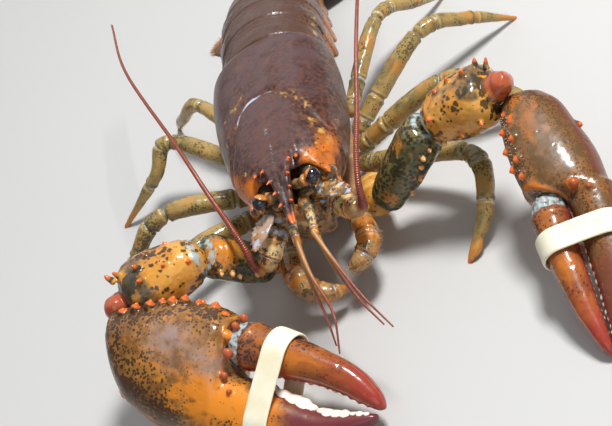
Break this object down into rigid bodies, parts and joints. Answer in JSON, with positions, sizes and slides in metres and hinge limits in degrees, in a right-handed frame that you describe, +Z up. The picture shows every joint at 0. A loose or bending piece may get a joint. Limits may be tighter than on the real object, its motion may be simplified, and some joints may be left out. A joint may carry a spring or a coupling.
{
  "type": "american lobster, still model",
  "caption": "Life-size lobster resting on a floor, with a heavy crushing claw and a slimmer cutting claw, each held shut by a rubber band, long feelers and a spread tail fan.",
  "frame": {"origin": "on the floor, under the middle of the model's box", "axes": "+Z up; the head faces -Y; the animal's left side, with the cutting claw, is +X"},
  "size_m": [0.2142, 0.3314, 0.066],
  "materials": {
    "shell_dark": "wet, mauve-brown shell with red-brown mottling and orange cheeks",
    "shell_claw": "wet, orange-brown claw shell with dark specks and red edges",
    "shell_mottled": "wet, ochre shell blotched with near-black green",
    "leg_green": "wet, olive-yellow shell with dark green joints",
    "feeler_red": "satin, brick-red rings",
    "mouth_tan": "wet, tan to cream shell with brown rings",
    "eye_black": "mirror-bright black bead",
    "band_cream": "smooth cream rubber, plain and unmarked"
  },
  "bodies": {
    "root": {"antenna_scale_left": "mouth_tan", "antenna_scale_right": "mouth_tan", "antenna_stem_left": "mouth_tan", "antenna_stem_right": "mouth_tan", "antennule_left": "shell_dark", "antennule_right": "shell_dark", "band_crusher": "band_cream", "band_cutter": "band_cream", "carapace": "shell_dark", "crusher_carpus": "shell_mottled", "crusher_hip": "shell_mottled", "crusher_merus": "shell_mottled", "crusher_palm": "shell_claw", "crusher_thumb": "shell_claw", "cutter_carpus": "shell_mottled", "cutter_hip": "shell_mottled", "cutter_merus": "shell_mottled", "cutter_palm": "shell_claw", "cutter_thumb": "shell_claw", "eye_left": "eye_black", "eye_right": "eye_black", "eyestalk_left": "mouth_tan", "eyestalk_right": "mouth_tan", "fan_inner_left": "shell_dark", "fan_inner_right": "shell_dark", "fan_outer_left": "shell_dark", "fan_outer_right": "shell_dark", "feeler_left": "feeler_red", "feeler_right": "feeler_red", "jaws": "mouth_tan", "leg_2_shin_left": "leg_green", "leg_2_shin_right": "leg_green", "leg_2_thigh_left": "leg_green", "leg_2_thigh_right": "leg_green", "leg_3_shin_left": "leg_green", "leg_3_shin_right": "leg_green", "leg_3_thigh_left": "leg_green", "leg_3_thigh_right": "leg_green", "leg_4_shin_left": "leg_green", "leg_4_shin_right": "leg_green", "leg_4_thigh_left": "leg_green", "leg_4_thigh_right": "leg_green", "leg_5_shin_left": "leg_green", "leg_5_shin_right": "leg_green", "leg_5_thigh_left": "leg_green", "leg_5_thigh_right": "leg_green", "maxilliped_left": "mouth_tan", "maxilliped_right": "mouth_tan", "sternum": "mouth_tan", "tail_segment_1": "shell_dark", "tail_segment_2": "shell_dark", "tail_segment_3": "shell_dark", "tail_segment_4": "shell_dark", "tail_segment_5": "shell_dark", "tail_segment_6": "shell_dark", "telson": "shell_dark"}
  },
  "joints": []
}
